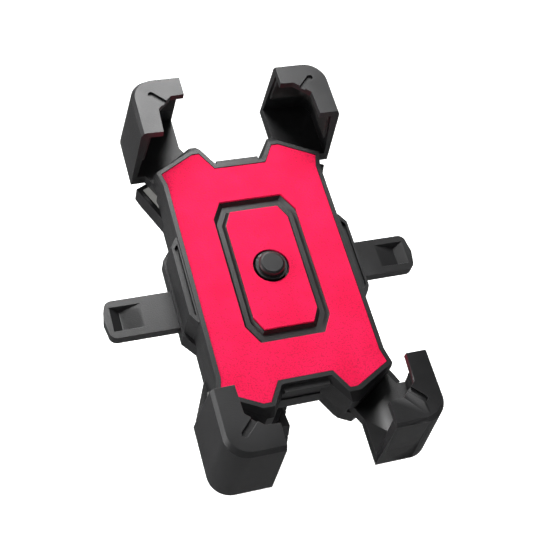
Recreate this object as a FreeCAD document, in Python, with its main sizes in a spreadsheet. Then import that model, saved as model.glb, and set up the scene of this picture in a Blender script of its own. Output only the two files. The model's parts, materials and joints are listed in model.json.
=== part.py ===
import FreeCAD, Part
import math
import os
import re

import Sketcher

# Four-claw phone holder on a ball joint and a hinged handlebar clamp, in millimetres.
# Row frame: origin at the centre of the clamp's bore, +X along the handlebar, +Y forwards
# (away from the rider), +Z up. The holder is drawn open, with its catch on.
# Two local frames are used, both turned about X from the row frame:
#   cradle frame - origin at the middle of the grip pad's face, +Z out of that face,
#                  +X to the rider's right, +Y towards the phone's top end;
#   clamp frame  - origin at the middle of the bore, +Z along the ball stud.

DRIVING_DIMS = {
    # cradle as a whole
    "plate_tilt": 33.63, "clamp_lean": 16, "ball_height": 46, "ball_drop": 40,
    # grip pad outline, one quadrant of it
    "panel_half": 33, "side_end": 44.9, "corner_x": 34.4, "corner_y": 50.5,
    "horn_out": 19.4, "horn_in": 16.35, "horn_y": 58.4, "notch_x": 11.4, "notch_y": 50.1,
    "pad_thick": 1.2, "pad_gap": 0.15,
    # octagonal window and island
    "window_x": 18.05, "window_y": 33.3, "window_cut_x": 13.56, "window_cut_y": 25.4,
    "island_x": 13.43, "island_y": 27.8, "island_cut_x": 10.36, "island_cut_y": 21.85,
    "groove_lip": 0.25, "groove_slope": 1.15, "groove_floor": 2.5,
    # front frame
    "rim_width": 1.9, "rim_top": 0.3, "bevel_drop": 2.6, "deck_under": 3.4, "parting": 14.8,
    "wall_x": 35.7, "wall_corner_x": 36.8, "wall_corner_y": 51.9, "tip_out": 19.1,
    "tip_in": 16.1, "tip_y": 63.7, "notch_wall_x": 8.4, "notch_wall_y": 52.3,
    "ledge_half": 9.4, "ledge_y": 54.8, "ledge_top": 1.6, "ledge_under": 4.6,
    "guard_x": 38.9, "guard_y": 16, "guard_end_y": 20.5, "guard_top": 0.5, "guard_edge": 4.2,
    # rear housing
    "housing_back": 25, "floor_top": 22.5, "bulge_x": 39.8, "bulge_y": 18, "bulge_end_y": 24,
    "side_x": 35, "shoulder_low_y": 36.5, "shoulder_x": 43.2, "shoulder_y": 54.4,
    "sleeve_x": 20.2, "sleeve_y": 64.6, "sleeve_in_x": 15.2, "sleeve_in_y": 62,
    "rear_notch_x": 10.2, "rear_notch_y": 53, "back_shrink": 0.955, "housing_wall": 1.9,
    "guide_top": 14.8, "guide_under": 15.8,
    # rack drive
    "arm_angle": 63, "travel": 11, "pitch_radius": 8, "tooth_count": 16, "backlash": 0.3,
    "rack_addendum": 0.8, "pinion_addendum": 0.9, "dedendum": 1.25, "rack_back": 12.5,
    "pinion_low": 21, "pinion_high": 9.2, "hub_radius": 5.8, "hub_top": 7.6,
    "axle_radius": 2.5, "running_gap": 0.05, "free_gap": 0.3,
    # claws and their arms
    "arm_half": 12.5, "arm_slim": 9, "arm_start": 36, "arm_waist": 46, "arm_end": 72,
    "arm_top": 9.5, "arm_under": 14.5,
    "claw_end_x": 21.3, "claw_low_y": 57.2, "claw_x": 42, "claw_y": 83.6, "claw_round": 9,
    "claw_top": 21.3, "band_drop": 2.2, "band_out": 1.25, "claw_flare": 3.2,
    "lip_thick": 3, "claw_wall": 2.2, "lip_width_x": 8, "lip_width_y": 8.8,
    "lip_cut_x": 33.5, "lip_cut_y": 68.7, "lip_cut_end_x": 27.1, "lip_cut_end_y": 74.5,
    "mark_width": 2.7, "mark_length": 8, "mark_depth": 1.1,
    "claw_pad_thick": 1.3, "claw_pad_low": 1, "claw_pad_high": 17.6,
    # wings
    "wing_tip": 68.4, "wing_start": 30, "wing_half": 8.5, "wing_shift": 4.85,
    "wing_top": 16, "wing_under": 21, "wing_round": 3.4, "spring_anchor": 18.6, "spring_y": 17,
    "pit_out": 66.3, "pit_deep": 62.4, "pit_in": 53.2, "pit_half": 5.5, "pit_depth": 2.6,
    # button and catch
    "button_hole": 7.6, "button_collar": 6.6, "button_cap": 5.4, "button_top": 2.8,
    "button_foot": 8.6, "foot_thick": 1, "button_bore": 4, "button_roof": 1.2,
    "button_travel": 2.5, "catch_half": 4, "catch_top": 7.8, "catch_under": 9.1,
    "catch_start": 20, "wire": 0.5,
    # ball joint
    "ball_radius": 8.5, "liner_outer": 9.3, "backing_outer": 10.2, "shell_gap": 0.06,
    "mouth_angle": 56, "neck_radius": 3.25, "socket_radius": 13, "socket_end": 5.4,
    "collar_radius": 17.5, "collar_bore": 13.4, "collar_end": 7.4, "collar_mouth": 9.3,
    # clamp
    "bar_radius": 15.9, "liner_thick": 1.6, "clamp_outer": 21.5, "clamp_width": 24,
    "jaw_gap": 0.8, "hinge_y": 25, "pin_radius": 2, "knuckle_radius": 4.4,
    "bolt_y": 29, "bolt_radius": 3, "ear_end": 36, "ear_thick": 7.2, "knob_radius": 10,
    "knob_height": 10, "washer_radius": 6.5, "washer_thick": 1.2, "bolt_low": 29.5,
}

NORMAL = FreeCAD.Vector(0, 0, 1)
EVERY_CORNER = {"top_right": (1, 1), "top_left": (-1, 1), "bottom_left": (-1, -1), "bottom_right": (1, -1)}
LEFT_RIGHT = {"right": 1, "left": -1}
SCREW_SPOTS = [(0, 46), (0, -46), (30, -13), (-30, 13), (30, 24.5), (-30, -24.5)]

doc = FreeCAD.newDocument("phone_handlebar_mount")
sheet = doc.addObject("Spreadsheet::Sheet", "dims")
for row, (alias, size) in enumerate(DRIVING_DIMS.items(), start=1):
    sheet.set(f"A{row}", alias)
    sheet.set(f"B{row}", str(size))
    sheet.setAlias(f"B{row}", alias)
doc.recompute()

sub_parts = []


# ---------------------------------------------------------------- expressions and helpers

def bound(formula):
    """A formula in the sheet's aliases, as an expression other objects can use."""
    return re.sub(r"[a-z_]+", lambda word: f"dims.{word[0]}" if word[0] in DRIVING_DIMS else word[0],
                  str(formula))


def number(formula):
    """The present value of such a formula."""
    return float(sheet.evalExpression(bound(formula)))


def bind(item, **formulas):
    for name, formula in formulas.items():
        item.setExpression(name.replace("__", "."), bound(formula))
    return item


def turned(item, degrees, axis=NORMAL):
    item.Placement = FreeCAD.Placement(item.Placement.Base, FreeCAD.Rotation(axis, degrees))
    return item


def place(item, x=0, y=0, z=0):
    return bind(item, Placement__Base__x=x, Placement__Base__y=y, Placement__Base__z=z)


def box(name, low, high):
    """An upright box between two corners, each given by three formulas."""
    item = doc.addObject("Part::Box", name)
    place(item, *low)
    sizes = [f"({top}) - ({bottom})" for bottom, top in zip(low, high)]
    return bind(item, Length=sizes[0], Width=sizes[1], Height=sizes[2])


def cylinder(name, radius, bottom, top, x=0, y=0):
    item = doc.addObject("Part::Cylinder", name)
    place(item, x, y, bottom)
    return bind(item, Radius=radius, Height=f"({top}) - ({bottom})")


def cone(name, bottom_radius, top_radius, bottom, top, x=0, y=0):
    item = doc.addObject("Part::Cone", name)
    place(item, x, y, bottom)
    return bind(item, Radius1=bottom_radius, Radius2=top_radius, Height=f"({top}) - ({bottom})")


def ball(name, radius, z):
    item = doc.addObject("Part::Sphere", name)
    place(item, 0, 0, z)
    return bind(item, Radius=radius)


def rod_along_x(name, radius, low, high, y=0, z=0):
    item = turned(doc.addObject("Part::Cylinder", name), 90, FreeCAD.Vector(0, 1, 0))
    place(item, low, y, z)
    return bind(item, Radius=radius, Height=f"({high}) - ({low})")


def fuse(name, *items):
    item = doc.addObject("Part::MultiFuse", name)
    item.Shapes = list(items)
    return item


def cut(name, base, *tools):
    item = doc.addObject("Part::Cut", name)
    item.Base = base
    item.Tool = tools[0] if len(tools) == 1 else fuse(f"{name}_tools", *tools)
    return item


def common(name, first, second):
    item = doc.addObject("Part::MultiCommon", name)
    item.Shapes = [first, second]
    return item


def outline(name, corners, z=0):
    """A closed sketch through the corners, every coordinate bound to the sheet.

    A corner is (x, y), or (x, y, radius) where an arc of that radius, bulging outwards,
    runs from it to the next corner."""
    spots = [(number(corner[0]), number(corner[1])) for corner in corners]
    following = spots[1:] + spots[:1]
    area = sum(a[0] * b[1] - b[0] * a[1] for a, b in zip(spots, following))
    sketch = doc.addObject("Sketcher::SketchObject", name)
    ends = []
    for corner, here, there in zip(corners, spots, following):
        start, stop = FreeCAD.Vector(*here), FreeCAD.Vector(*there)
        if len(corner) == 2:
            sketch.addGeometry(Part.LineSegment(start, stop), False)
            ends.append((1, 2))
            continue
        radius, chord = number(corner[2]), stop - start
        inward = NORMAL.cross(chord).normalize() * math.copysign(1, area)
        centre = (start + stop) / 2 + inward * math.sqrt(max(radius ** 2 - chord.Length ** 2 / 4, 0))
        first, last = (start, stop) if area > 0 else (stop, start)
        angles = [math.atan2(spot.y - centre.y, spot.x - centre.x) for spot in (first, last)]
        sketch.addGeometry(Part.ArcOfCircle(Part.Circle(centre, NORMAL, radius), *angles), False)
        ends.append((1, 2) if area > 0 else (2, 1))
    count = len(corners)
    for index in range(count):
        after = (index + 1) % count
        sketch.addConstraint(Sketcher.Constraint("Coincident", index, ends[index][1], after, ends[after][0]))
    for index, corner in enumerate(corners):
        for kind, formula, value in zip(("DistanceX", "DistanceY"), corner, spots[index]):
            rule = sketch.addConstraint(Sketcher.Constraint(kind, -1, 1, index, ends[index][0], value))
            sketch.setExpression(f"Constraints[{rule}]", bound(formula))
        if len(corner) == 3:
            rule = sketch.addConstraint(Sketcher.Constraint("Radius", index, number(corner[2])))
            sketch.setExpression(f"Constraints[{rule}]", bound(corner[2]))
    return place(sketch, 0, 0, z)


def prism(name, corners, bottom, top, angle=0):
    """A straight prism on an outline, turned by an angle about the local Z axis."""
    item = doc.addObject("Part::Extrusion", name)
    item.Base = turned(outline(f"{name}_outline", corners, bottom), angle)
    item.DirMode = "Normal"
    item.Solid = True
    return bind(item, LengthFwd=f"({top}) - ({bottom})")


def bar(name, low, high, angle=0):
    """A block between two corners, then turned by an angle about the local Z axis."""
    corners = [(low[0], low[1]), (high[0], low[1]), (high[0], high[1]), (low[0], high[1])]
    return prism(name, corners, low[2], high[2], angle)


def loft(name, *levels):
    """Straight-sided loft through outlines with matching corners, as (corners, height) pairs."""
    item = doc.addObject("Part::Loft", name)
    item.Sections = [outline(f"{name}_{i}", corners, z) for i, (corners, z) in enumerate(levels)]
    item.Solid = True
    item.Ruled = True
    return item


def revolved(name, profile):
    """A turned solid: profile points are (radius, height) about the local Z axis."""
    sketch = outline(f"{name}_profile", profile)
    sketch.Placement = FreeCAD.Placement(FreeCAD.Vector(), FreeCAD.Rotation(FreeCAD.Vector(1, 0, 0), 90))
    item = doc.addObject("Part::Revolution", name)
    item.Source = sketch
    item.Axis = NORMAL
    item.Angle = 360
    item.Solid = True
    return item


def coil(name, radius, wire, length, turns, frame_turn=0, axis=NORMAL, at=(0, 0, 0)):
    """A round-wire helical spring standing on the point at, along local Z or turned from it."""
    spine = doc.addObject("Part::Helix", f"{name}_spine")
    bind(spine, Radius=radius, Height=length, Pitch=f"({length}) / {turns}")
    section = turned(doc.addObject("Part::Circle", f"{name}_section"), 90, FreeCAD.Vector(1, 0, 0))
    place(bind(section, Radius=f"({wire}) / 2"), radius, 0, 0)
    sweep = doc.addObject("Part::Sweep", name)
    sweep.Sections = [section]
    sweep.Spine = (spine, [])
    sweep.Solid = True
    sweep.Frenet = True
    item = doc.addObject("Part::Compound", f"{name}_placed")
    item.Links = [sweep]
    return place(turned(item, frame_turn, axis), *at)


def all_round(quadrant):
    """Corners of an outline that is the same in its four quadrants."""
    across = [(f"-({x})", y) for x, y in reversed(quadrant)]
    upper = quadrant + across
    return upper + [(f"-({x})", f"-({y})") for x, y in upper]


def signed(corners, side_x, side_y):
    """The same corners in another quadrant, with any arc radius kept."""
    return [(f"{side_x} * ({c[0]})", f"{side_y} * ({c[1]})", *c[2:]) for c in corners]


def finish(item, label, frame):
    """Names a sub-part and stands it in the row frame."""
    body = doc.addObject("Part::Compound", f"{label}_body")
    body.Links = [item]
    body.Label = label
    angle = {"cradle": "plate_tilt", "clamp": "clamp_lean"}[frame]
    turned(body, number(angle), FreeCAD.Vector(1, 0, 0))
    bind(body, Placement__Rotation__Angle=angle)
    if frame == "cradle":
        ball_to_pad = "ball_drop * {}(plate_tilt)"
        place(body, 0, "-ball_height * sin(clamp_lean) - " + ball_to_pad.format("sin"),
              "ball_height * cos(clamp_lean) + " + ball_to_pad.format("cos"))
    sub_parts.append(body)


# ---------------------------------------------------------------- cradle outlines

def panel_outline(grow=0):
    """The grip pad's outline, grown outwards on every side."""
    return all_round([
        (f"panel_half + {grow}", "side_end"),
        (f"corner_x + 1.05 * {grow}", f"corner_y + 0.53 * {grow}"),
        (f"horn_out + 0.26 * {grow}", f"horn_y + {grow}"),
        (f"horn_in - 0.55 * {grow}", f"horn_y + {grow}"),
        (f"notch_x - 0.58 * {grow}", f"notch_y + {grow}")])


def wall_outline():
    return all_round([("wall_x", "side_end - 0.4"), ("wall_corner_x", "wall_corner_y"),
                      ("tip_out", "tip_y"), ("tip_in", "tip_y"), ("notch_wall_x", "notch_wall_y")])


def octagon(prefix, grow=0):
    return all_round([(f"{prefix}_x + {grow}", f"{prefix}_cut_y + 0.4 * {grow}"),
                      (f"{prefix}_cut_x + 0.4 * {grow}", f"{prefix}_y + {grow}")])


def housing_outline(shrink=1):
    quadrant = [("bulge_x", "bulge_y"), ("side_x", "bulge_end_y"), ("side_x", "shoulder_low_y"),
                ("shoulder_x", "shoulder_y"), ("sleeve_x", "sleeve_y"),
                ("sleeve_in_x", "sleeve_in_y"), ("rear_notch_x", "rear_notch_y")]
    return all_round([(f"({x}) * {shrink}", f"({y}) * {shrink}") for x, y in quadrant])


def housing_inside(gap=0):
    """The rear housing's cavity, one wall inside its outline and a gap smaller."""
    inset = f"(housing_wall + {gap})"
    return all_round([(f"side_x - {inset}", "shoulder_low_y + 1"),
                      (f"shoulder_x - 1.35 * {inset}", f"shoulder_y - 0.4 * {inset}"),
                      ("sleeve_x", f"sleeve_y - 1.2 * {inset}"),
                      (f"sleeve_in_x + {inset}", f"sleeve_in_y - 0.8 * {inset}"),
                      (f"rear_notch_x + {inset}", f"rear_notch_y - {inset}")])


def arm_angle_of(side_x, side_y):
    """The direction in which a corner's arm slides out, about the cradle's Z axis."""
    angle = number("arm_angle")
    upper = angle if side_x > 0 else 180 - angle
    return upper if side_y > 0 else -upper


def arm_outline(start, end, clearance, outer):
    """An arm seen from above, along local X. It is slimmer on its outer side beyond the waist."""
    half, slim, waist = (f"{size} + {clearance}" for size in ("arm_half", "arm_slim", "arm_waist"))
    corners = [(start, half), (start, f"-({half})"), (end, f"-({half})"), (end, slim), (waist, slim),
               (waist, half)]
    return signed(corners, 1, outer)


# ---------------------------------------------------------------- front frame and pads

def make_guard(side, sign):
    """The raised side rail with its long window."""
    def rail(reach, end, half):
        return [("34", f"-({end})"), ("wall_x", f"-({end})"), (reach, f"-({half})"),
                (reach, half), ("wall_x", end), ("34", end)]

    low_rail = signed(rail("guard_x", "guard_end_y", "guard_y"), sign, 1)
    high_rail = signed(rail("guard_x - 0.6", "guard_end_y - 0.8", "guard_y - 0.4"), sign, 1)
    window = signed([("wall_x - 0.1", "-guard_y - 0.8"), ("guard_x - 1.6", "-guard_y + 1.2"),
                     ("guard_x - 1.6", "guard_y - 1.2"), ("wall_x - 0.1", "guard_y + 0.8")], sign, 1)
    body = fuse(f"guard_{side}", prism(f"guard_{side}_low", low_rail, "-parting", "-guard_edge"),
                loft(f"guard_{side}_high", (low_rail, "-guard_edge"), (high_rail, "-guard_top")))
    return body, prism(f"guard_{side}_window", window, "-guard_top - 1.9", "1")


def make_front_frame():
    rim = loft("frame_rim", (wall_outline(), "-bevel_drop"), (panel_outline("rim_width"), "rim_top"))
    wall = prism("frame_wall", wall_outline(), "-parting", "-bevel_drop")
    guards = [make_guard(side, sign) for side, sign in LEFT_RIGHT.items()]
    shell = fuse("frame_block", rim, wall, *[body for body, window in guards])
    cavity = prism("frame_cavity", panel_outline(0), "-parting - 1", "-deck_under")
    recess = prism("frame_recess", panel_outline("pad_gap"), "-pad_thick", "rim_top + 1")
    groove = cut("frame_groove",
                 loft("groove_outer", (octagon("window", "-groove_lip - groove_slope"), "-groove_floor"),
                      (octagon("window", "-groove_lip"), "-pad_thick + 0.001")),
                 loft("groove_inner", (octagon("island", "groove_lip + groove_slope"), "-groove_floor - 0.1"),
                      (octagon("island", "groove_lip"), "-pad_thick + 0.1")))
    hole = cylinder("frame_hole", "button_hole", "-deck_under - 1", "rim_top + 1")
    tools = [cavity, recess, groove, hole] + [window for body, window in guards]
    for corner, (side_x, side_y) in EVERY_CORNER.items():
        tools.append(prism(f"frame_channel_{corner}",
                           arm_outline("30", "95", "free_gap", -side_x * side_y),
                           "-parting - 1", "-arm_top + free_gap", arm_angle_of(side_x, side_y)))
        swept_x = "claw_end_x - travel * cos(arm_angle) - free_gap"
        swept_y = "claw_low_y - travel * sin(arm_angle) - free_gap"
        swept = [(swept_x, swept_y), ("60", swept_y), ("60", "90"), (swept_x, "90")]
        tools.append(prism(f"frame_sweep_{corner}", signed(swept, side_x, side_y),
                           "-parting - 1", "-arm_top + free_gap"))
    hollow = cut("frame_hollow", shell, *tools)
    bosses = [cylinder(f"boss_{i}", "2.6", "-guide_top", "-deck_under", x, y)
              for i, (x, y) in enumerate(SCREW_SPOTS)]
    ribs = [bar(f"rib_{corner}", ("30", "-1", "-arm_top + free_gap"), ("54", "1", "-deck_under"),
                arm_angle_of(*signs)) for corner, signs in EVERY_CORNER.items()]
    rails = [box(f"catch_rail_{side}", (f"{sign} * (catch_half + 1.1) - 0.8", "-catch_start", "-catch_under"),
                 (f"{sign} * (catch_half + 1.1) + 0.8", "-10", "-deck_under"))
             for side, sign in LEFT_RIGHT.items()]
    spring_stop = box("catch_stop", ("-2.5", "-27.5", "-catch_under"), ("2.5", "-26", "-deck_under"))
    spans = {"top": ("notch_y - 0.6", "ledge_y"), "low": ("-ledge_y", "-notch_y + 0.6")}
    ledges = [box(f"ledge_{end}", ("-ledge_half", low, "-ledge_under"), ("ledge_half", high, "-ledge_top"))
              for end, (low, high) in spans.items()]
    body = fuse("frame_body", hollow, *bosses, *ribs, *rails, spring_stop, *ledges)
    pilots = [cylinder(f"pilot_{i}", "1.25", "-guide_top - 1", "-7", x, y)
              for i, (x, y) in enumerate(SCREW_SPOTS)]
    finish(cut("front_frame_cut", body, *pilots), "front_frame", "cradle")


def make_pads():
    """The grippy face: an outer pad with an octagonal window, and an island round the button."""
    outer = prism("pad_sheet", panel_outline(0), "-pad_thick", "0")
    window = prism("pad_window", octagon("window"), "-pad_thick - 1", "1")
    finish(cut("grip_pad_cut", outer, window), "grip_pad", "cradle")
    island = prism("island_sheet", octagon("island"), "-pad_thick", "0")
    hole = cylinder("island_hole", "button_hole", "-pad_thick - 1", "1")
    finish(cut("island_cut", island, hole), "pad_island", "cradle")


# ---------------------------------------------------------------- rear housing

def make_back_cover():
    upper = prism("cover_wall", housing_outline(), "-floor_top", "-parting")
    lower = loft("cover_base", (housing_outline("back_shrink"), "-housing_back"),
                 (housing_outline(), "-floor_top"))
    block = fuse("cover_block", upper, lower)
    inside = prism("cover_inside", housing_inside(), "-floor_top", "-parting + 1")
    wing_slots = []
    for side, sign in LEFT_RIGHT.items():
        middle = f"{sign} * wing_shift"
        low, high = (30, 45) if sign > 0 else (-45, -30)
        wing_slots.append(box(f"cover_slot_{side}",
                              (low, f"{middle} - wing_half - free_gap", "-wing_under - free_gap"),
                              (high, f"{middle} + wing_half + free_gap", "-guide_under")))
    hollow = cut("cover_hollow", block, inside, *wing_slots)
    posts = [cylinder(f"post_{i}", "2.6", "-floor_top", "-guide_under", x, y)
             for i, (x, y) in enumerate(SCREW_SPOTS)]
    anchors = [cylinder(f"anchor_{side}", "1.4", "-floor_top", "-guide_under",
                        f"{-sign} * spring_anchor", f"{sign} * spring_y")
               for side, sign in LEFT_RIGHT.items()]
    boss = cone("cover_boss", "16.5", "18.5", "-housing_back - 1.6", "-housing_back")
    body = fuse("cover_solid", hollow, *posts, *anchors, boss)
    holes = [cylinder(f"screw_hole_{i}", "1.6", "-housing_back - 1", "-guide_under + 1", x, y)
             for i, (x, y) in enumerate(SCREW_SPOTS)]
    sinks = [cylinder(f"screw_sink_{i}", "2.95", "-housing_back - 1", "-housing_back + 1.6", x, y)
             for i, (x, y) in enumerate(SCREW_SPOTS)]
    axle_seat = cylinder("axle_seat", "axle_radius", "-housing_back + 1", "-floor_top + 1")
    fixings = [hole for i in range(3) for hole in socket_screw(f"cover_fixing_{i}", i, "0.05")]
    finish(cut("back_cover_cut", body, *holes, *sinks, axle_seat, *fixings), "back_cover", "cradle")


def socket_screw(name, index, gap):
    """Shank and countersunk head of one screw that holds the socket to the cover."""
    angle = 30 + 120 * index
    x, y = f"15 * cos({angle})", f"15 * sin({angle})"
    low = "-housing_back - 4.2"
    return [cylinder(f"{name}_shank", f"1.2 + {gap}", low, "-floor_top - 0.9", x, y),
            cone(f"{name}_head", f"1.2 + {gap}", f"2.4 + {gap}", "-floor_top - 1.3", "-floor_top", x, y)]


def make_guide_plate():
    """The divider that carries the arms above and covers the wings below."""
    plate = prism("guide_sheet", housing_inside("pad_gap"), "-guide_under", "-guide_top")
    opening = cylinder("guide_opening", "pitch_radius + pinion_addendum + free_gap", "-guide_under - 1",
                       "-guide_top + 1")
    holes = [cylinder(f"guide_hole_{i}", "1.6", "-guide_under - 1", "-guide_top + 1", x, y)
             for i, (x, y) in enumerate(SCREW_SPOTS)]
    finish(cut("guide_plate_cut", plate, opening, *holes), "guide_plate", "cradle")


def make_screws():
    cover = []
    for i, (x, y) in enumerate(SCREW_SPOTS):
        cover.append(cylinder(f"screw_shank_{i}", "1.2", "-housing_back + 1.4", "-8", x, y))
        cover.append(cut(f"screw_head_{i}", cylinder(f"screw_disc_{i}", "2.7", "-housing_back + 0.2",
                                                      "-housing_back + 1.6", x, y),
                         cross_recess(f"screw_{i}", x, y)))
    finish(fuse("cover_screws_all", *cover), "cover_screws", "cradle")
    socket = [solid for i in range(3) for solid in socket_screw(f"socket_fixing_{i}", i, "0")]
    finish(fuse("socket_screws_all", *socket), "socket_screws", "cradle")


def cross_recess(name, x, y):
    """The cross slot in a screw's head."""
    bars = [box(f"{name}_bar_{i}", (f"{x} - {half_x}", f"{y} - {half_y}", "-housing_back"),
                (f"{x} + {half_x}", f"{y} + {half_y}", "-housing_back + 0.9"))
            for i, (half_x, half_y) in enumerate(((1.5, 0.35), (0.35, 1.5)))]
    return fuse(f"{name}_cross", *bars)


# ---------------------------------------------------------------- rack drive

def tooth_outline():
    """One pinion tooth with involute flanks, as (radius, angle from its middle) pairs."""
    pitch, teeth = number("pitch_radius"), number("tooth_count")
    pressure = math.radians(20)
    base = pitch * math.cos(pressure)
    tip = pitch + number("pinion_addendum")
    root = pitch - number("dedendum")
    half_tooth = (math.pi / 2 - number("backlash") / 2) / 2 * (2 * pitch / teeth) / pitch

    def half_angle(radius):
        roll = math.acos(min(base / radius, 1))
        return half_tooth + math.tan(pressure) - pressure - (math.tan(roll) - roll)

    steps = 5
    radii = [base + (tip - base) * i / steps for i in range(steps + 1)]
    return [(root, half_angle(base))] + [(radius, half_angle(radius)) for radius in radii]


def make_pinion():
    """The tall pinion that couples six racks. Its flanks follow a formula, so its outline is
    worked out here and not in a sketch."""
    flank = tooth_outline()
    teeth = int(number("tooth_count"))
    points = []
    for tooth in range(teeth):
        middle = 2 * math.pi * tooth / teeth
        for radius, angle in [(r, -a) for r, a in flank] + [(r, a) for r, a in reversed(flank)]:
            points.append(FreeCAD.Vector(radius * math.cos(middle + angle), radius * math.sin(middle + angle),
                                         -number("pinion_low")))
    wheel = Part.Face(Part.makePolygon(points + points[:1])).extrude(
        FreeCAD.Vector(0, 0, number("pinion_low - pinion_high")))
    toothed = doc.addObject("Part::Feature", "pinion_wheel")
    toothed.Shape = wheel
    hub = cylinder("pinion_hub", "hub_radius", "-pinion_high - 1", "-hub_top")
    notch = box("hub_notch", ("-1.6", "-hub_radius - 1", "-pinion_high"), ("1.6", "-hub_radius + 1.6", "0"))
    solid = cut("pinion_solid", fuse("pinion_blank", toothed, hub), notch,
                cylinder("pinion_bore", "axle_radius + running_gap", "-pinion_low - 1", "0"))
    finish(solid, "drive_pinion", "cradle")
    axle = fuse("axle_all", cylinder("axle_pin", "axle_radius", "-housing_back + 1", "-hub_top + 0.3"),
                cylinder("axle_washer", "axle_radius + 1.5", "-floor_top", "-pinion_low - 0.1"))
    finish(axle, "pinion_axle", "cradle")


def rack(name, angle, phase, bottom, top, plain_to):
    """A rack in the frame of its own slide: +X outwards, teeth towards the pinion.

    phase is where a gap's middle lies along the slide while the claws are open."""
    pitch, circular = number("pitch_radius"), math.pi
    slope = math.tan(math.radians(20))
    half = circular / 4 - number("backlash") / 4
    low, high = -number("rack_addendum"), number("dedendum")
    first = -6
    corners = []
    for index in range(8):
        middle = phase + (index - 1.5) * circular
        for side in (-1, 1):
            along = (half + high * slope, half + low * slope)
            heights = ("dedendum", "-rack_addendum") if side < 0 else ("-rack_addendum", "dedendum")
            reaches = along if side < 0 else tuple(reversed(along))
            corners += [(f"{middle + side * reach:.4f}", f"pitch_radius + {height}")
                        for reach, height in zip(reaches, heights)]
    corners = [(str(first), "pitch_radius + dedendum")] + corners
    corners += [(plain_to, "pitch_radius + dedendum"), (plain_to, "rack_back"), (str(first), "rack_back")]
    return prism(name, corners, bottom, top, angle)


def gap_phase(angle):
    """Where a rack's gap must be for the pinion tooth nearest to its pitch point."""
    step = 360 / number("tooth_count")
    pitch_point = angle + 90
    nearest = round(pitch_point / step) * step
    return -math.radians(nearest - pitch_point) * number("pitch_radius")


def make_wing(side, sign):
    """A pull tab with its rack. The left one is the right one turned half a turn."""
    angle = 0 if sign > 0 else 180
    low, high = "wing_shift - wing_half", "wing_shift + wing_half"
    tab = prism(f"wing_{side}_tab", [
        ("wing_start", low), ("wing_tip - wing_round", low, "wing_round"),
        ("wing_tip", f"{low} + wing_round"), ("wing_tip + 0.9", "wing_shift"),
        ("wing_tip", f"{high} - wing_round", "wing_round"), ("wing_tip - wing_round", high),
        ("wing_start", high)], "-wing_under", "-wing_top")
    pit_low, pit_high = "wing_shift - pit_half", "wing_shift + pit_half"
    pit = loft(f"wing_{side}_pit",
               ([("pit_deep - 0.6", f"{pit_low} + 1.4"), ("pit_deep", f"{pit_low} + 1.4"),
                 ("pit_deep", f"{pit_high} - 1.4"), ("pit_deep - 0.6", f"{pit_high} - 1.4")],
                "-wing_top - pit_depth"),
               ([("pit_in", pit_low), ("pit_out", pit_low), ("pit_out", pit_high), ("pit_in", pit_high)],
                "-wing_top + 0.01"))
    lug = box(f"wing_{side}_lug", ("wing_start - 2.5", "rack_back - 0.5", "-wing_under"),
              ("wing_start + 1", "19.3", "-wing_top"))
    toothed = rack(f"wing_{side}_rack", 0, gap_phase(0), "-wing_under", "-wing_top", "wing_start + 1")
    solid = turned(cut(f"wing_{side}_solid", fuse(f"wing_{side}_blank", tab, toothed, lug), pit), angle)
    finish(solid, f"wing_{side}", "cradle")


def claw_outline(grow):
    """The block that a claw is cut from; its outer corner is rounded."""
    x, y, low = f"claw_x + {grow}", f"claw_y + {grow}", f"claw_low_y - 0.1 * {grow}"
    return [("claw_end_x", low), (x, low), (x, f"{y} - claw_round", "claw_round"),
            (f"{x} - claw_round", y), ("claw_end_x", y)]


def claw_inside(grow):
    x, y = f"claw_x - claw_wall + {grow}", f"claw_y - claw_wall + {grow}"
    round_in = "(claw_round - claw_wall)"
    return [("10", "40"), (x, "40"), (x, f"{y} - {round_in}", round_in), (f"{x} - {round_in}", y), ("10", y)]


def make_claw(corner, side_x, side_y):
    """One corner claw and its sliding arm, one moulding, and the rubber that lines it."""
    angle = arm_angle_of(side_x, side_y)
    upper_level = side_x * side_y > 0

    def here(corners):
        return signed(corners, side_x, side_y)

    block = loft(f"{corner}_block", (here(claw_outline("claw_flare")), "-arm_under"),
                 (here(claw_outline("band_out")), "claw_top - band_drop"),
                 (here(claw_outline("0")), "claw_top"))
    inside = loft(f"{corner}_inside", (here(claw_inside("claw_flare - 0.2")), "-arm_top"),
                  (here(claw_inside("0")), "claw_top - lip_thick"))
    lip_opening = prism(f"{corner}_opening", here([
        ("10", "40"), ("claw_x - lip_width_x", "40"), ("claw_x - lip_width_x", "claw_low_y"),
        ("lip_cut_x", "lip_cut_y"), ("lip_cut_end_x", "lip_cut_end_y"),
        ("claw_end_x", "claw_y - lip_width_y"), ("10", "claw_y - lip_width_y")]),
        "claw_top - lip_thick - 1", "claw_top + 1")
    mark = make_mark(corner, side_x, side_y)
    hook = cut(f"{corner}_hook", block, inside, lip_opening, mark)
    plate = prism(f"{corner}_plate", arm_outline("arm_start", "arm_end", 0, -side_x * side_y),
                  "-arm_under", "-arm_top", angle)
    middle = "-(arm_under + arm_top) / 2"
    bottom, top = (f"{middle} + 0.1", "-arm_top") if upper_level else ("-arm_under", f"{middle} - 0.1")
    toothed = rack(f"{corner}_rack", angle, gap_phase(angle), bottom, top, "arm_start + 1")
    finish(fuse(f"{corner}_claw", hook, plate, toothed), f"claw_{corner}", "cradle")
    make_claw_pad(corner, here)


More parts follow.
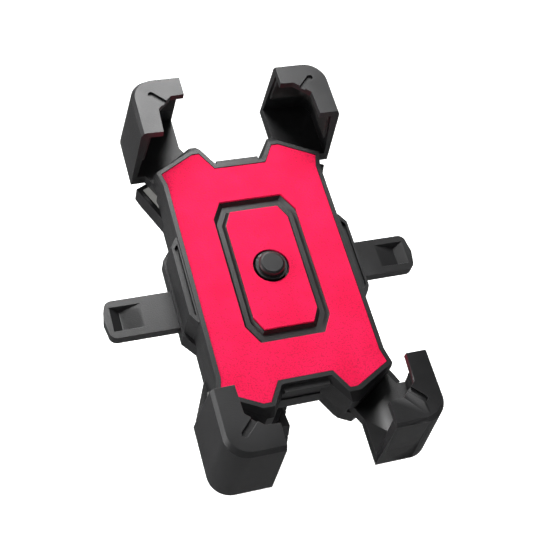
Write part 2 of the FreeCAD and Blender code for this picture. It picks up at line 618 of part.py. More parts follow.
def make_mark(corner, side_x, side_y):
    """The short diagonal groove in a claw's lip, round at its outer end."""
    middle_x, middle_y = "(lip_cut_x + lip_cut_end_x) / 2", "(lip_cut_y + lip_cut_end_y) / 2"
    round_end = "mark_length - mark_width / 2"
    groove = fuse(f"{corner}_mark",
                  box(f"{corner}_mark_run", ("-3", "-mark_width / 2", "claw_top - mark_depth"),
                      (round_end, "mark_width / 2", "claw_top + 1")),
                  cylinder(f"{corner}_mark_end", "mark_width / 2", "claw_top - mark_depth", "claw_top + 1",
                           round_end))
    turned(groove, math.degrees(math.atan2(side_y, side_x)))
    return place(groove, f"{side_x} * {middle_x}", f"{side_y} * {middle_y}", 0)


def make_claw_pad(corner, here):
    """The rubber lining, which leans with the claw's walls."""
    def wall_at(inset, z):
        lean = f"(claw_flare - 0.2) * (claw_top - lip_thick - {z}) / (claw_top - lip_thick + arm_top)"
        return tuple(f"({size} - claw_wall - ({inset}) + {lean})" for size in ("claw_x", "claw_y"))

    def outer(z):
        (x, y), bend, side = wall_at("pad_gap", z), "(claw_round - claw_wall)", "claw_low_y + 1"
        return here([("claw_end_x + 1", side), (x, side), (x, f"{y} - {bend}", bend), (f"{x} - {bend}", y),
                     ("claw_end_x + 1", y)])

    def inner(z):
        (x, y), bend = wall_at("pad_gap + claw_pad_thick", z), "(claw_round - claw_wall - claw_pad_thick)"
        return here([("10", "40"), (x, "40"), (x, f"{y} - {bend}", bend), (f"{x} - {bend}", y), ("10", y)])

    low, high = "claw_pad_low", "claw_pad_high"
    strip = cut(f"{corner}_pad_cut", loft(f"{corner}_pad_outer", (outer(low), low), (outer(high), high)),
                loft(f"{corner}_pad_inner", (inner(f"({low} - 1)"), f"{low} - 1"),
                     (inner(f"({high} + 1)"), f"{high} + 1")))
    finish(strip, f"claw_pad_{corner}", "cradle")


# ---------------------------------------------------------------- button, catch and springs

def make_button():
    top, foot_top = "button_top", "-(deck_under + free_gap)"
    body = revolved("button_turned", [
        ("0", "button_roof"), ("button_bore", "button_roof"), ("button_bore", f"{foot_top} - foot_thick"),
        ("button_foot", f"{foot_top} - foot_thick"), ("button_foot", foot_top),
        ("button_collar", foot_top), ("button_collar", "0.3"), ("button_cap", "0.3"),
        ("button_cap", f"{top} - 1.1"), ("button_cap - 0.35", f"{top} - 0.45"), ("button_cap - 1.1", top),
        ("0", top)])
    leg_top = f"{foot_top} - foot_thick + 0.2"
    side_view = [("-8.4", leg_top), ("-8.4", "-5.4"), ("-7.4", "-6.4"), ("-6.4", "-6.4"), ("-6.4", leg_top)]
    legs = [prism_in_yz(f"button_leg_{side}", side_view, f"{sign} * 2.45 - 0.75", f"{sign} * 2.45 + 0.75")
            for side, sign in LEFT_RIGHT.items()]
    finish(fuse("button_all", body, *legs), "release_button", "cradle")


def prism_in_yz(name, corners, low_x, high_x):
    """A prism along X on an outline given as (y, z) pairs."""
    sketch = outline(f"{name}_outline", corners)
    sketch.Placement = FreeCAD.Placement(FreeCAD.Vector(), FreeCAD.Rotation(FreeCAD.Vector(1, 1, 1), 120))
    place(sketch, low_x, 0, 0)
    item = doc.addObject("Part::Extrusion", name)
    item.Base = sketch
    item.DirMode = "Normal"
    item.Solid = True
    return bind(item, LengthFwd=f"({high_x}) - ({low_x})")


def make_catch():
    """The sliding catch: the button's two legs push its ramp back, away from the pinion's hub."""
    tooth_end = "-(hub_radius + free_gap)"
    slide = box("catch_plate", ("-catch_half", "-catch_start", "-catch_under"),
                ("catch_half", "-11", "-catch_top"))
    tooth = box("catch_tooth", ("-1.3", "-11.5", "-catch_under"), ("1.3", tooth_end, "-catch_top"))
    ramp_low = "-catch_top - 0.1"
    ramp = prism_in_yz("catch_ramp", [("-12.5", ramp_low), ("-7.75", ramp_low), ("-7.75", "-6.55"),
                                      ("-8.85", "-5.45"), ("-12.5", "-5.45")],
                       "-catch_half + 0.4", "catch_half - 0.4")
    finish(fuse("catch_all", slide, tooth, ramp), "catch_slide", "cradle")


def make_springs():
    button = coil("button_coil", "2.2", "wire + 0.1", "button_roof + hub_top - 1.4", 5,
                  at=("0", "0", "-hub_top + 0.7"))
    finish(button, "button_spring", "cradle")
    catch = coil("catch_coil", "0.7", "wire * 0.6", "5.2", 6, 90, FreeCAD.Vector(1, 0, 0),
                 ("0", "-catch_start - 0.3", "-(catch_top + catch_under) / 2 + 0.2"))
    finish(catch, "catch_spring", "cradle")
    spring_length = "wing_start - 2.8 + spring_anchor - 2.2"
    for side, sign in LEFT_RIGHT.items():
        spring = coil(f"return_coil_{side}", "1.9", "wire", spring_length, 22, -90 * sign,
                      FreeCAD.Vector(0, 1, 0), (f"{sign} * (wing_start - 2.8)", f"{sign} * spring_y",
                                                "-(wing_top + wing_under) / 2"))
        finish(spring, f"return_spring_{side}", "cradle")


# ---------------------------------------------------------------- ball joint

def spherical_shell(label, inner, outer):
    """A thin cup round the ball, open towards the clamp."""
    shell = cut(f"{label}_shell", ball(f"{label}_out", outer, "-ball_drop"),
                ball(f"{label}_in", inner, "-ball_drop"))
    mouth = cylinder(f"{label}_mouth", "20", "-ball_drop - 20", "-ball_drop - liner_outer * cos(mouth_angle)")
    finish(cut(f"{label}_cut", shell, mouth), label, "cradle")


def make_ball_joint():
    spherical_shell("ball_liner", "ball_radius + shell_gap", "liner_outer")
    spherical_shell("liner_backing", "liner_outer + shell_gap", "backing_outer")
    flange_top = "-housing_back - 1.6"
    cup = revolved("socket_turned", [
        ("0", flange_top), ("0", f"{flange_top} - 4"), ("16.3", f"{flange_top} - 2.6"), ("16.3", flange_top)])
    barrel = cylinder("socket_barrel", "socket_radius", "-ball_drop - socket_end", f"{flange_top} - 1")
    fingers = [bar(f"socket_slot_{i}", ("-20", "-0.8", "-ball_drop - 10"), ("20", "0.8", "-ball_drop + 3"),
                   45 + 90 * i) for i in range(2)]
    fixings = [hole for i in range(3) for hole in socket_screw(f"socket_hole_{i}", i, "0.05")[:1]]
    pocket = ball("socket_pocket", "backing_outer + shell_gap", "-ball_drop")
    finish(cut("socket_cut", fuse("socket_blank", cup, barrel), pocket, *fingers, *fixings),
           "socket_cup", "cradle")
    top, low = "-ball_drop + 8.2", "-ball_drop - collar_end"
    ring = revolved("collar_turned", [
        ("collar_bore", top), ("collar_bore", "-ball_drop - socket_end - 0.3"),
        ("collar_mouth", "-ball_drop - socket_end - 0.3"), ("collar_mouth + 0.5", low),
        ("collar_radius - 2.2", low), ("collar_radius", f"{low} + 2.2"), ("collar_radius", f"{top} - 1.2"),
        ("collar_radius - 1.2", top)])
    flutes = [cylinder(f"collar_flute_{i}", "2.4", f"{low} - 1", f"{top} + 1",
                       f"(collar_radius + 1.1) * cos({30 * i})", f"(collar_radius + 1.1) * sin({30 * i})")
              for i in range(12)]
    finish(cut("collar_cut", ring, *flutes), "locking_collar", "cradle")


def make_ball_stud():
    globe = ball("stud_ball", "ball_radius", "ball_height")
    shank = revolved("stud_turned", [
        ("0", "clamp_outer - 2.8"), ("3", "clamp_outer - 2.8"), ("3", "clamp_outer + 3.7"),
        ("7", "clamp_outer + 3.7"), ("7", "clamp_outer + 5.6"), ("5.6", "clamp_outer + 7.4"),
        ("neck_radius + 0.1", "ball_height - 12"),
        ("neck_radius", "ball_height - 7"), ("0", "ball_height - 7")])
    finish(fuse("stud_all", globe, shank), "ball_stud", "clamp")


# ---------------------------------------------------------------- handlebar clamp

def half_ring(name, inner, outer, half_width, sign):
    """Half of a ring about the bar: sign +1 is the half towards the ball."""
    ring = cut(f"{name}_ring", rod_along_x(f"{name}_out", outer, f"-({half_width})", half_width),
               rod_along_x(f"{name}_in", inner, f"-({half_width}) - 1", f"{half_width} + 1"))
    low, high = ("jaw_gap / 2", "60") if sign > 0 else ("-60", "-jaw_gap / 2")
    return common(f"{name}_half", ring, box(f"{name}_side", ("-30", "-60", low), ("30", "60", high)))


def knuckle(name, low, high):
    return rod_along_x(name, "knuckle_radius", low, high, "hinge_y")


def jaw(label, sign):
    """One jaw of the clamp, and the hole for its hinge pin. Sign +1 is the one under the ball.

    The upper jaw has the two outer knuckles, and the lower one the knuckle between them."""
    half, third = "clamp_width / 2", "clamp_width / 6"
    shell = half_ring(label, "bar_radius + liner_thick", "clamp_outer", half, sign)
    ear_low, ear_high = sorted((f"{sign} * jaw_gap / 2", f"{sign} * (jaw_gap / 2 + ear_thick)"), key=number)
    ear = box(f"{label}_ear", ("-8", "-ear_end", ear_low), ("8", "-bar_radius - liner_thick - 0.6", ear_high))
    web_low, web_high = sorted((f"{sign} * jaw_gap / 2", f"{sign} * 6.5"), key=number)
    if sign > 0:
        spans = [(f"-({half})", f"-({third}) - 0.15"), (f"{third} + 0.15", half)]
        gaps = [(f"-({third}) - 0.15", f"{third} + 0.15")]
        pin_hole = rod_along_x(f"{label}_pin_hole", "pin_radius", "-20", "20", "hinge_y")
    else:
        spans = [(f"-({third}) + 0.15", f"{third} - 0.15")]
        gaps = [("-20", f"-({third}) + 0.15"), (f"{third} - 0.15", "20")]
        pin_hole = rod_along_x(f"{label}_pin_hole", "pin_radius + running_gap", "-20", "20", "hinge_y")
    reliefs = [rod_along_x(f"{label}_relief_{i}", "knuckle_radius + 0.4", low, high, "hinge_y")
               for i, (low, high) in enumerate(gaps)]
    knuckles = [knuckle(f"{label}_knuckle_{i}", low, high) for i, (low, high) in enumerate(spans)]
    webs = [box(f"{label}_web_{i}", (low, "bar_radius + liner_thick + 0.6", web_low),
                (high, "hinge_y", web_high)) for i, (low, high) in enumerate(spans)]
    relieved = cut(f"{label}_relieved", fuse(f"{label}_shell", shell, ear), *reliefs)
    return fuse(f"{label}_solid", relieved, *webs_clear_of(label, webs, reliefs), *knuckles), pin_hole


def webs_clear_of(label, webs, reliefs):
    """The webs behind the knuckles, cut back where the other jaw's knuckles turn."""
    cleared = []
    for i, web in enumerate(webs):
        tools = [copy_of(relief, f"{label}_web_relief_{i}_{j}") for j, relief in enumerate(reliefs)]
        cleared.append(cut(f"{label}_web_cut_{i}", web, *tools))
    return cleared


def copy_of(rod, name):
    """A second rod bound to the same formulas."""
    twin = turned(doc.addObject("Part::Cylinder", name), 90, FreeCAD.Vector(0, 1, 0))
    for path, formula in rod.ExpressionEngine:
        twin.setExpression(path, formula)
    return twin


def make_clamp():
    upper, pin_hole = jaw("upper_jaw", 1)
    pedestal = cylinder("stud_pedestal", "9", "bar_radius + liner_thick + 0.5", "clamp_outer + 3.7")
    collar = cone("stud_skirt", "12", "9", "clamp_outer - 3.5", "clamp_outer + 1.5")
    bore = rod_along_x("pedestal_relief", "bar_radius + liner_thick", "-20", "20")
    stud_hole = cylinder("stud_hole", "3", "clamp_outer - 2.8", "clamp_outer + 5")
    bolt_hole = cylinder("upper_bolt_hole", "bolt_radius + 0.05", "-1", "20", 0, "-bolt_y")
    head_pocket = hexagon("head_pocket", "5.15", "ear_thick - 1.4", "20", "-bolt_y")
    solid = fuse("clamp_upper_all", upper, pedestal, collar)
    finish(cut("clamp_upper_cut", solid, bore, stud_hole, bolt_hole, head_pocket, pin_hole),
           "clamp_upper", "clamp")
    lower, lower_pin_hole = jaw("lower_jaw", -1)
    slot = box("lower_bolt_slot", ("-bolt_radius - free_gap", "-ear_end - 1", "-20"),
               ("bolt_radius + free_gap", "-bolt_y + 3.8", "1"))
    finish(cut("clamp_lower_cut", lower, slot, lower_pin_hole), "clamp_lower", "clamp")
    pin = rod_along_x("pin", "pin_radius", "-clamp_width / 2 - 0.4", "clamp_width / 2 + 0.4", "hinge_y")
    finish(pin, "hinge_pin", "clamp")
    for label, sign in (("liner_upper", 1), ("liner_lower", -1)):
        finish(half_ring(label, "bar_radius", "bar_radius + liner_thick", "clamp_width / 2", sign),
               label, "clamp")


def hexagon(name, radius, bottom, top, y):
    """An upright hexagonal prism; radius is half its width across the flats."""
    across = f"({radius}) / cos(30)"
    corners = [(f"{across} * cos({60 * i})", f"({y}) + {across} * sin({60 * i})") for i in range(6)]
    return prism(name, corners, bottom, top)


def make_fastening():
    bolt = fuse("bolt_all", cylinder("bolt_shank", "bolt_radius", "-bolt_low", "ear_thick - 1", 0, "-bolt_y"),
                hexagon("bolt_head", "5", "ear_thick - 1.4", "ear_thick + 2.4", "-bolt_y"))
    finish(bolt, "clamp_bolt", "clamp")
    ear_low = "-(ear_thick + jaw_gap / 2)"
    washer_top = f"{ear_low} - free_gap"
    washer_low = f"{washer_top} - washer_thick"
    washer = cut("washer_cut", cylinder("washer_disc", "washer_radius", washer_low, washer_top, 0, "-bolt_y"),
                 cylinder("washer_hole", "bolt_radius + running_gap", "-20", "0", 0, "-bolt_y"))
    finish(washer, "knob_washer", "clamp")
    knob_top, knob_low = f"{washer_low} - 0.05", f"{washer_low} - 0.05 - knob_height"
    grip = revolved("knob_turned", [
        ("0", knob_top), ("6", knob_top), ("knob_radius", f"{knob_top} - 2"),
        ("knob_radius", f"{knob_low} + 1.4"), ("knob_radius - 1.4", knob_low), ("0", knob_low)])
    place(grip, 0, "-bolt_y", 0)
    flutes = [cylinder(f"knob_flute_{i}", "2.1", f"{knob_low} - 1", f"{knob_top} + 1",
                       f"(knob_radius + 0.7) * cos({45 * i})",
                       f"-bolt_y + (knob_radius + 0.7) * sin({45 * i})") for i in range(8)]
    seat = hexagon("insert_seat", "4.5", f"{knob_low} + 1.5", f"{knob_top} + 1", "-bolt_y")
    through = cylinder("knob_through", "bolt_radius + free_gap", f"{knob_low} - 1", f"{knob_top} + 1", 0,
                       "-bolt_y")
    finish(cut("knob_cut", grip, seat, through, *flutes), "clamp_knob", "clamp")
    insert = cut("insert_cut", hexagon("insert_hex", "4.5", f"{knob_low} + 1.5", knob_top, "-bolt_y"),
                 cylinder("insert_hole", "bolt_radius + running_gap", "-30", "0", 0, "-bolt_y"))
    finish(insert, "knob_insert", "clamp")


# ---------------------------------------------------------------- build and export

make_front_frame()
make_pads()
make_back_cover()
make_guide_plate()
make_screws()
make_pinion()
for wing_side, wing_sign in LEFT_RIGHT.items():
    make_wing(wing_side, wing_sign)
for claw_corner, corner_signs in EVERY_CORNER.items():
    make_claw(claw_corner, *corner_signs)
make_button()
make_catch()
make_springs()
make_ball_joint()
make_ball_stud()
make_clamp()
make_fastening()
doc.recompute()

for item in doc.Objects:
    if "Invalid" in item.State or "Error" in item.State:
        raise RuntimeError(f"{item.Name} did not build: {item.State}")
for item in sub_parts:
    if item.Shape.isNull() or not item.Shape.isValid():
        raise RuntimeError(f"{item.Label} is not a valid shape")

os.makedirs("parts", exist_ok=True)
for item in sub_parts:
    item.Shape.exportStep(f"parts/{item.Label}.step")
    size = item.Shape.BoundBox
    print(f"{item.Label:24s} solids {len(item.Shape.Solids):2d} volume {item.Shape.Volume:10.1f} mm3 "
          f"{size.XLength:6.1f} x {size.YLength:6.1f} x {size.ZLength:6.1f} mm")
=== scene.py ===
import json
import math

import bmesh
import bpy
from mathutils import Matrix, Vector


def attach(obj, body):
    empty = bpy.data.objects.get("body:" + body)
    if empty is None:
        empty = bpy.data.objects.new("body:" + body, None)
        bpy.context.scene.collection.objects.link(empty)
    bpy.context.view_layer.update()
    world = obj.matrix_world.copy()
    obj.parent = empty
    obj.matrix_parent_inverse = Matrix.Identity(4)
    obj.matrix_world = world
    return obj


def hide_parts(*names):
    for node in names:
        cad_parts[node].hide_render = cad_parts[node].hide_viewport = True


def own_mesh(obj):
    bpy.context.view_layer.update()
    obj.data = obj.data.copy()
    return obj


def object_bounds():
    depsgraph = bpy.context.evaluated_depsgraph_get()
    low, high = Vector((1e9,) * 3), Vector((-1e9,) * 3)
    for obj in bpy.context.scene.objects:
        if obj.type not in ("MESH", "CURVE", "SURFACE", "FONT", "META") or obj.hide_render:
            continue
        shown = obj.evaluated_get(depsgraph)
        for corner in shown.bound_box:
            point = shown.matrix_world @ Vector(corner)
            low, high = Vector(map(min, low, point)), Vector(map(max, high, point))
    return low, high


MM = 0.001
# How far the grip pad's face stands above the drive pinion's joint.
PAD_ABOVE_PINION = 15

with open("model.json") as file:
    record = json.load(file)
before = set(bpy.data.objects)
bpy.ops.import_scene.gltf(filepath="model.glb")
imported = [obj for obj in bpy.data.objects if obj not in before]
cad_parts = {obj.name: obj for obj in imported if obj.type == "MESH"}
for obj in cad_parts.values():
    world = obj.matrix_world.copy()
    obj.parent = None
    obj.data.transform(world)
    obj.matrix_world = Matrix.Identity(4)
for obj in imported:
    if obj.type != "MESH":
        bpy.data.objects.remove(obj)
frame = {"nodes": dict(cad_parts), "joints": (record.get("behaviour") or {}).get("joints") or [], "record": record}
nodes = frame["nodes"]
joints = {joint["name"]: joint for joint in frame["joints"]}
cad_low, cad_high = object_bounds()

# The cradle's own axes: across, towards the phone's top end, and out of the grip pad.
NORMAL = Vector(joints["cradle_spin"]["axis"]).normalized()
ACROSS = Vector((1, 0, 0))
ALONG = NORMAL.cross(ACROSS).normalized()
PAD = Vector(joints["pinion_turn"]["pos_m"]) + PAD_ABOVE_PINION * MM * NORMAL


def on_cradle(x, y, z):
    """A point given in millimetres in the cradle's axes, from the middle of the grip pad."""
    return PAD + (ACROSS * x + ALONG * y + NORMAL * z) * MM


# ---------------------------------------------------------------- camera, lights and floor

scene = bpy.context.scene
scene.view_settings.view_transform = "Standard"

VIEW = Vector((0.284, 0.837, -0.468)).normalized()
CAMERA_FROM_PAD = Vector((-132.7, -395.8, 216.6)) * MM
LENS = 75.27
SENSOR = 36

camera_data = bpy.data.cameras.new("camera")
camera_data.lens = LENS
camera_data.sensor_width = SENSOR
camera_data.clip_start = 0.01
camera = bpy.data.objects.new("camera", camera_data)
scene.collection.objects.link(camera)
camera.location = PAD + CAMERA_FROM_PAD
camera.rotation_mode = "QUATERNION"
camera.rotation_quaternion = VIEW.to_track_quat("-Z", "Y")
scene.camera = camera


def softbox(name, offset, width, height, power):
    """An area light at an offset from the pad's middle in metres, facing it."""
    data = bpy.data.lights.new(name, "AREA")
    data.shape = "RECTANGLE"
    data.size = width
    data.size_y = height
    data.energy = power
    lamp = bpy.data.objects.new(name, data)
    scene.collection.objects.link(lamp)
    lamp.location = PAD + Vector(offset)
    lamp.rotation_mode = "QUATERNION"
    lamp.rotation_quaternion = (-Vector(offset)).to_track_quat("-Z", "Y")


softbox("key", (-0.02, 0.12, 0.46), 0.26, 0.26, 3.3)
softbox("left", (-0.55, 0.02, 0.16), 0.35, 0.35, 3.2)
softbox("back", (0.10, 0.95, 0.55), 0.9, 0.4, 3.4)

world = bpy.data.worlds.new("studio")
world.use_nodes = True
room = world.node_tree.nodes["Background"]
room.inputs["Color"].default_value = (1, 1, 1, 1)
room.inputs["Strength"].default_value = 0.16
scene.world = world


# ---------------------------------------------------------------- materials

def blank(name):
    """A new material, its node tree and its shader."""
    made = bpy.data.materials.new(name)
    made.use_nodes = True
    tree = made.node_tree
    return made, tree, tree.nodes["Principled BSDF"]


def noise(tree, scale, detail=2.0, roughness=0.5, stretch=None):
    """Noise over the object's own coordinates, in cycles per metre."""
    place = tree.nodes.new("ShaderNodeTexCoord").outputs["Object"]
    if stretch:
        mapping = tree.nodes.new("ShaderNodeMapping")
        mapping.inputs["Scale"].default_value = stretch
        tree.links.new(place, mapping.inputs["Vector"])
        place = mapping.outputs["Vector"]
    node = tree.nodes.new("ShaderNodeTexNoise")
    node.inputs["Scale"].default_value = scale
    node.inputs["Detail"].default_value = detail
    node.inputs["Roughness"].default_value = roughness
    tree.links.new(place, node.inputs["Vector"])
    return node.outputs["Fac"]


def mapped(tree, value, low, high, to_low, to_high):
    """The value carried from the range low..high to to_low..to_high."""
    node = tree.nodes.new("ShaderNodeMapRange")
    node.inputs["From Min"].default_value = low
    node.inputs["From Max"].default_value = high
    node.inputs["To Min"].default_value = to_low
    node.inputs["To Max"].default_value = to_high
    tree.links.new(value, node.inputs["Value"])
    return node.outputs["Result"]


def blended(tree, factor, first, second):
    """A colour mix; each colour is a tuple or another node's output."""
    node = tree.nodes.new("ShaderNodeMix")
    node.data_type = "RGBA"
    tree.links.new(factor, node.inputs["Factor"])
    for socket, colour in ((node.inputs["A"], first), (node.inputs["B"], second)):
        if isinstance(colour, tuple):
            socket.default_value = (*colour, 1)
        else:
            tree.links.new(colour, socket)
    return node.outputs["Result"]


def times(tree, first, second):
    """A product; the second is a number or another node's output."""
    node = tree.nodes.new("ShaderNodeMath")
    node.operation = "MULTIPLY"
    tree.links.new(first, node.inputs[0])
    if isinstance(second, float):
        node.inputs[1].default_value = second
    else:
        tree.links.new(second, node.inputs[1])
    return node.outputs["Value"]


def edge_mask(tree, radius):
    """1 along sharp edges, 0 on the flats between them."""
    rounded = tree.nodes.new("ShaderNodeBevel")
    rounded.samples = 4
    rounded.inputs["Radius"].default_value = radius
    geometry = tree.nodes.new("ShaderNodeNewGeometry")
    dot = tree.nodes.new("ShaderNodeVectorMath")
    dot.operation = "DOT_PRODUCT"
    tree.links.new(rounded.outputs["Normal"], dot.inputs[0])
    tree.links.new(geometry.outputs["Normal"], dot.inputs[1])
    return mapped(tree, dot.outputs["Value"], 0.995, 0.80, 0.0, 1.0)


def bumped(tree, shader, *layers):
    """Bump from (height, strength, depth in metres) layers, one on top of the other."""
    before = None
    for height, strength, depth in layers:
        node = tree.nodes.new("ShaderNodeBump")
        node.inputs["Strength"].default_value = strength
        node.inputs["Distance"].default_value = depth
        tree.links.new(height, node.inputs["Height"])
        if before:
            tree.links.new(before, node.inputs["Normal"])
        before = node.outputs["Normal"]
    tree.links.new(before, shader.inputs["Normal"])


def moulded(name, base, lighter, roughness, grain, depth, wear=0.35, specular=0.5):
    """Textured moulded plastic: spark-eroded grain, faint flow shading and handled edges."""
    made, tree, shader = blank(name)
    broad = noise(tree, 45, 3)
    fine = noise(tree, grain, 2, 0.6)
    body = blended(tree, mapped(tree, broad, 0.3, 0.7, 0, 1), base, lighter)
    patchy = mapped(tree, noise(tree, 160, 4), 0.35, 0.65, 0.15, wear)
    worn = times(tree, edge_mask(tree, 0.0006), patchy)
    rubbed = tuple(0.03 + 2.0 * c for c in lighter)
    tree.links.new(blended(tree, worn, body, rubbed), shader.inputs["Base Color"])
    tree.links.new(mapped(tree, broad, 0.3, 0.7, roughness - 0.05, roughness + 0.06),
                   shader.inputs["Roughness"])
    shader.inputs["Specular IOR Level"].default_value = specular
    bumped(tree, shader, (fine, 0.55, depth), (broad, 0.15, 0.0002))
    return made


def foam_rubber(name, base, darker, brighter):
    """Matt, slightly pebbled grip rubber with fine darker speckle."""
    made, tree, shader = blank(name)
    speckle = noise(tree, 1500, 3, 0.7)
    patches = noise(tree, 70, 3)
    body = blended(tree, mapped(tree, patches, 0.35, 0.65, 0, 1), base, brighter)
    spots = mapped(tree, speckle, 0.50, 0.36, 0.0, 0.55)
    tree.links.new(blended(tree, spots, body, darker), shader.inputs["Base Color"])
    tree.links.new(mapped(tree, speckle, 0.3, 0.7, 0.72, 0.9), shader.inputs["Roughness"])
    shader.inputs["Specular IOR Level"].default_value = 0.2
    shader.inputs["Sheen Weight"].default_value = 0.06
    shader.inputs["Sheen Roughness"].default_value = 0.5
    bumped(tree, shader, (speckle, 0.5, 0.00018))
    return made


def soft_rubber(name, base, lighter):
    """Matt black rubber with a film of dust."""
    made, tree, shader = blank(name)
    dust = noise(tree, 220, 4)
    fine = noise(tree, 1100, 2)
    tree.links.new(blended(tree, mapped(tree, dust, 0.45, 0.75, 0, 1), base, lighter),
                   shader.inputs["Base Color"])
    tree.links.new(mapped(tree, dust, 0.3, 0.7, 0.7, 0.88), shader.inputs["Roughness"])
    shader.inputs["Specular IOR Level"].default_value = 0.35
    bumped(tree, shader, (fine, 0.4, 0.0001))
    return made


def satin_button(name):
    """Satin black plastic with a thin glossy skin and finger smears."""
    made, tree, shader = blank(name)
    smear = noise(tree, 90, 4)
    fine = noise(tree, 1800, 2)
    tree.links.new(blended(tree, smear, (0.004, 0.004, 0.0045), (0.009, 0.009, 0.010)),
                   shader.inputs["Base Color"])
    tree.links.new(mapped(tree, smear, 0.3, 0.7, 0.34, 0.44), shader.inputs["Roughness"])
    shader.inputs["Coat Weight"].default_value = 0.3
    shader.inputs["Coat Roughness"].default_value = 0.15
    bumped(tree, shader, (fine, 0.15, 0.00005))
    return made


def metal(name, base, darker, roughness, stretch, metallic=1.0):
    """Machined or drawn metal, with fine lines along one direction."""
    made, tree, shader = blank(name)
    lines = noise(tree, 60, 4, 0.6, stretch)
    blotch = noise(tree, 130, 4)
    tree.links.new(blended(tree, mapped(tree, blotch, 0.35, 0.7, 0, 1), base, darker),
                   shader.inputs["Base Color"])
    tree.links.new(mapped(tree, lines, 0.3, 0.7, roughness - 0.08, roughness + 0.1),
                   shader.inputs["Roughness"])
    shader.inputs["Metallic"].default_value = metallic
    bumped(tree, shader, (lines, 0.3, 0.00003))
    return made


FINISHES = {
    "frame_plastic": moulded(
        "frame_plastic", (0.009, 0.009, 0.0095), (0.017, 0.017, 0.018), 0.40, 2300, 0.00010),
    "cover_plastic": moulded(
        "cover_plastic", (0.007, 0.007, 0.0075), (0.014, 0.014, 0.015), 0.42, 2000, 0.00012),
    "claw_plastic": moulded(
        "claw_plastic", (0.008, 0.008, 0.0085), (0.015, 0.015, 0.016), 0.40, 2300, 0.00010),
    "wing_plastic": moulded(
        "wing_plastic", (0.010, 0.010, 0.0105), (0.020, 0.020, 0.021), 0.40, 2100, 0.00012),
    "clamp_plastic": moulded(
        "clamp_plastic", (0.008, 0.008, 0.0085), (0.016, 0.016, 0.017), 0.46, 1500, 0.00016),
    "collar_plastic": moulded(
        "collar_plastic", (0.007, 0.007, 0.0075), (0.015, 0.015, 0.016), 0.44, 1300, 0.00020),
    "inner_plastic": moulded(
        "inner_plastic", (0.42, 0.42, 0.40), (0.55, 0.55, 0.53), 0.45, 1600, 0.00006, 0.1),
    "liner_acetal": moulded(
        "liner_acetal", (0.62, 0.62, 0.59), (0.75, 0.75, 0.72), 0.35, 1400, 0.00004, 0.1),
    "button_plastic": satin_button("button_plastic"),
    "grip_pad": foam_rubber(
        "grip_pad", (0.86, 0.004, 0.070), (0.46, 0.003, 0.030), (0.93, 0.008, 0.088)),
    "rubber": soft_rubber("rubber", (0.012, 0.012, 0.012), (0.035, 0.035, 0.034)),
    "steel": metal("steel", (0.60, 0.60, 0.59), (0.42, 0.42, 0.41), 0.30, (1, 20, 20)),
    "spring_steel": metal(
        "spring_steel", (0.52, 0.52, 0.53), (0.36, 0.36, 0.37), 0.28, (20, 1, 20)),
    "black_steel": metal(
        "black_steel", (0.030, 0.030, 0.032), (0.016, 0.016, 0.017), 0.38, (10, 10, 10), 0.7),
    "anodised_metal": metal(
        "anodised_metal", (0.045, 0.045, 0.048), (0.028, 0.028, 0.030), 0.34, (25, 25, 2), 0.8),
    "brass": metal("brass", (0.72, 0.50, 0.21), (0.52, 0.34, 0.13), 0.32, (1, 1, 20)),
}


# ---------------------------------------------------------------- finish on the CAD nodes

WELD_DISTANCE = 0.002 * MM
FLAT_WITHIN = math.radians(0.02)
SHARP_FROM = math.radians(24)

# Edge radii in millimetres, by the longest name that a node's name begins with.
ROUNDING = {
    "claw": 0.55, "claw_pad": 0.25, "front_frame": 0.22, "back_cover": 0.35, "wing": 0.4,
    "release_button": 0.3, "grip_pad": 0.15, "pad_island": 0.15, "locking_collar": 0.4,
    "clamp_upper": 0.5, "clamp_lower": 0.5, "clamp_knob": 0.5, "ball_stud": 0.25,
    "socket_cup": 0.3, "liner": 0.3, "knob": 0.15, "clamp_bolt": 0.25,
}


def rounding_of(name):
    """A node's edge radius in metres, or 0."""
    fits = [key for key in ROUNDING if name.startswith(key)]
    return ROUNDING[max(fits, key=len)] * MM if fits else 0


def dress(name, slot):
    """Material, smooth shading between sharp edges, and a small real edge radius."""
    item = nodes[name]
    item.data.materials.clear()
    item.data.materials.append(FINISHES[slot])
    item.data.shade_smooth()
    radius = rounding_of(name)
    weld = item.modifiers.new("weld", "WELD")
    weld.merge_threshold = WELD_DISTANCE
    if radius:
        flat = item.modifiers.new("flat", "DECIMATE")
        flat.decimate_type = "DISSOLVE"
        flat.angle_limit = FLAT_WITHIN
        rounded = item.modifiers.new("rounded", "BEVEL")
        rounded.width = radius
        rounded.segments = 3
        rounded.limit_method = "ANGLE"
        rounded.angle_limit = SHARP_FROM
        rounded.use_clamp_overlap = True
        rounded.harden_normals = True
        rounded.miter_outer = "MITER_ARC"
    normals = item.modifiers.new("normals", "WEIGHTED_NORMAL")
    normals.keep_sharp = True


for entry in frame["record"]["subparts"]:
    dress(entry["node"], entry["material_slot"])


# ---------------------------------------------------------------- wire springs in place of the CAD solids

STEPS_PER_TURN = 20
# How much closer than even the coils stand at both ends.
CLOSER_AT_ENDS = 0.35


def coil_path(start, end, radius, turns):
    """Points of a helix from start to end, with its coils closer towards both ends."""
    axis = end - start
    side = axis.orthogonal().normalized()
    other = axis.normalized().cross(side)
    steps = int(turns * STEPS_PER_TURN)
    points = []
    for step in range(steps + 1):
        share = step / steps
        along = share - CLOSER_AT_ENDS * math.sin(2 * math.pi * share) / (2 * math.pi)
        angle = 2 * math.pi * share * turns
        points.append(start + axis * along + radius * (math.cos(angle) * side + math.sin(angle) * other))
    return points


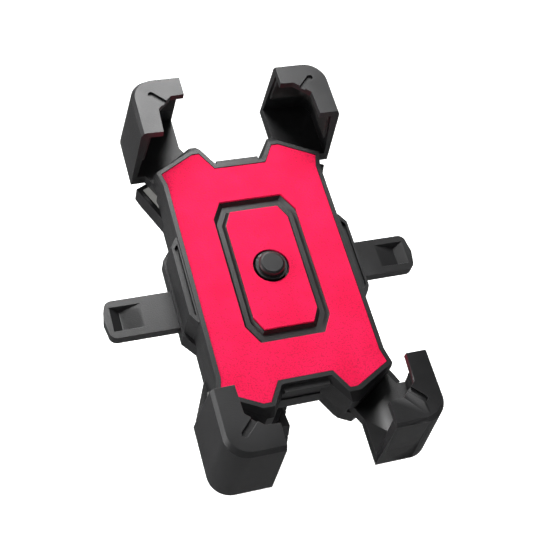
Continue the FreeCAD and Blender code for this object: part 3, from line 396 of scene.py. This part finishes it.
def tube(name, points, thickness, sides=8):
    """A round wire through the points, with capped ends."""
    built = bmesh.new()
    angles = [2 * math.pi * k / sides for k in range(sides)]
    rings = []
    before = None
    for index, point in enumerate(points):
        ahead = points[min(index + 1, len(points) - 1)] - points[max(index - 1, 0)]
        ahead.normalize()
        side = ahead.orthogonal() if before is None else before - ahead * before.dot(ahead)
        before = side.normalized()
        other = ahead.cross(before)
        rings.append([built.verts.new(point + thickness / 2 * (math.cos(a) * before + math.sin(a) * other))
                      for a in angles])
    for low, high in zip(rings, rings[1:]):
        for k in range(sides):
            built.faces.new((low[k], low[(k + 1) % sides], high[(k + 1) % sides], high[k]))
    built.faces.new(list(reversed(rings[0])))
    built.faces.new(rings[-1])
    mesh = bpy.data.meshes.new(name)
    built.to_mesh(mesh)
    built.free()
    item = bpy.data.objects.new(name, mesh)
    scene.collection.objects.link(item)
    item.data.shade_smooth()
    return item


def spring(node, moving_end, fixed_end, radius, thickness, turns):
    """A wire spring in place of its CAD solid, carried by the cradle."""
    start, end = on_cradle(*fixed_end), on_cradle(*moving_end)
    item = tube(f"{node}_wire", coil_path(start, end, radius * MM, turns), thickness * MM)
    item.data.materials.append(FINISHES["spring_steel"])
    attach(item, "cradle")
    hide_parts(node)
    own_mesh(item)


# In millimetres on the cradle, as the CAD places them.
for hand, sign in (("right", 1), ("left", -1)):
    spring(f"return_spring_{hand}", (27.0 * sign, 17 * sign, -18.5), (-16.2 * sign, 17 * sign, -18.5),
           1.9, 0.5, 22)
spring("button_spring", (0, 0, 0.2), (0, 0, -6.6), 2.2, 0.6, 5)
spring("catch_spring", (0, -20.5, -8.25), (0, -25.3, -8.25), 0.7, 0.3, 6)


# ---------------------------------------------------------------- floor

FLOOR_GAP = 0.002
FLOOR_HALF = 4.0
FLOOR_FRONT = -3.0
SWEEP_START = 1.2
SWEEP_RADIUS = 0.8
SWEEP_STEPS = 24
WALL_TOP = 3.0


def make_floor():
    """A wide pale sweep that the holder stands over, in metres."""
    mesh = bpy.data.meshes.new("floor")
    built = bmesh.new()
    level = cad_low.z - FLOOR_GAP
    turns = [math.pi / 2 * step / SWEEP_STEPS for step in range(1, SWEEP_STEPS + 1)]
    profile = [(FLOOR_FRONT, 0.0), (SWEEP_START, 0.0)]
    profile += [(SWEEP_START + SWEEP_RADIUS * math.sin(a), SWEEP_RADIUS * (1 - math.cos(a))) for a in turns]
    profile += [(SWEEP_START + SWEEP_RADIUS, WALL_TOP)]
    rows = [[built.verts.new((x, y, level + z)) for x in (-FLOOR_HALF, FLOOR_HALF)] for y, z in profile]
    for low, high in zip(rows, rows[1:]):
        built.faces.new((low[0], low[1], high[1], high[0]))
    built.to_mesh(mesh)
    built.free()
    floor = bpy.data.objects.new("floor", mesh)
    scene.collection.objects.link(floor)
    floor.data.shade_smooth()
    made, tree, shader = blank("floor")
    tree.links.new(blended(tree, noise(tree, 3, 2), (0.86, 0.86, 0.86), (0.90, 0.90, 0.90)),
                   shader.inputs["Base Color"])
    shader.inputs["Roughness"].default_value = 0.7
    shader.inputs["Emission Color"].default_value = (1, 1, 1, 1)
    shader.inputs["Emission Strength"].default_value = 0.75
    floor.data.materials.append(made)
    # Left out of glossy reflections, so that the black plastic doesn't mirror the bright floor.
    floor.visible_glossy = False


make_floor()
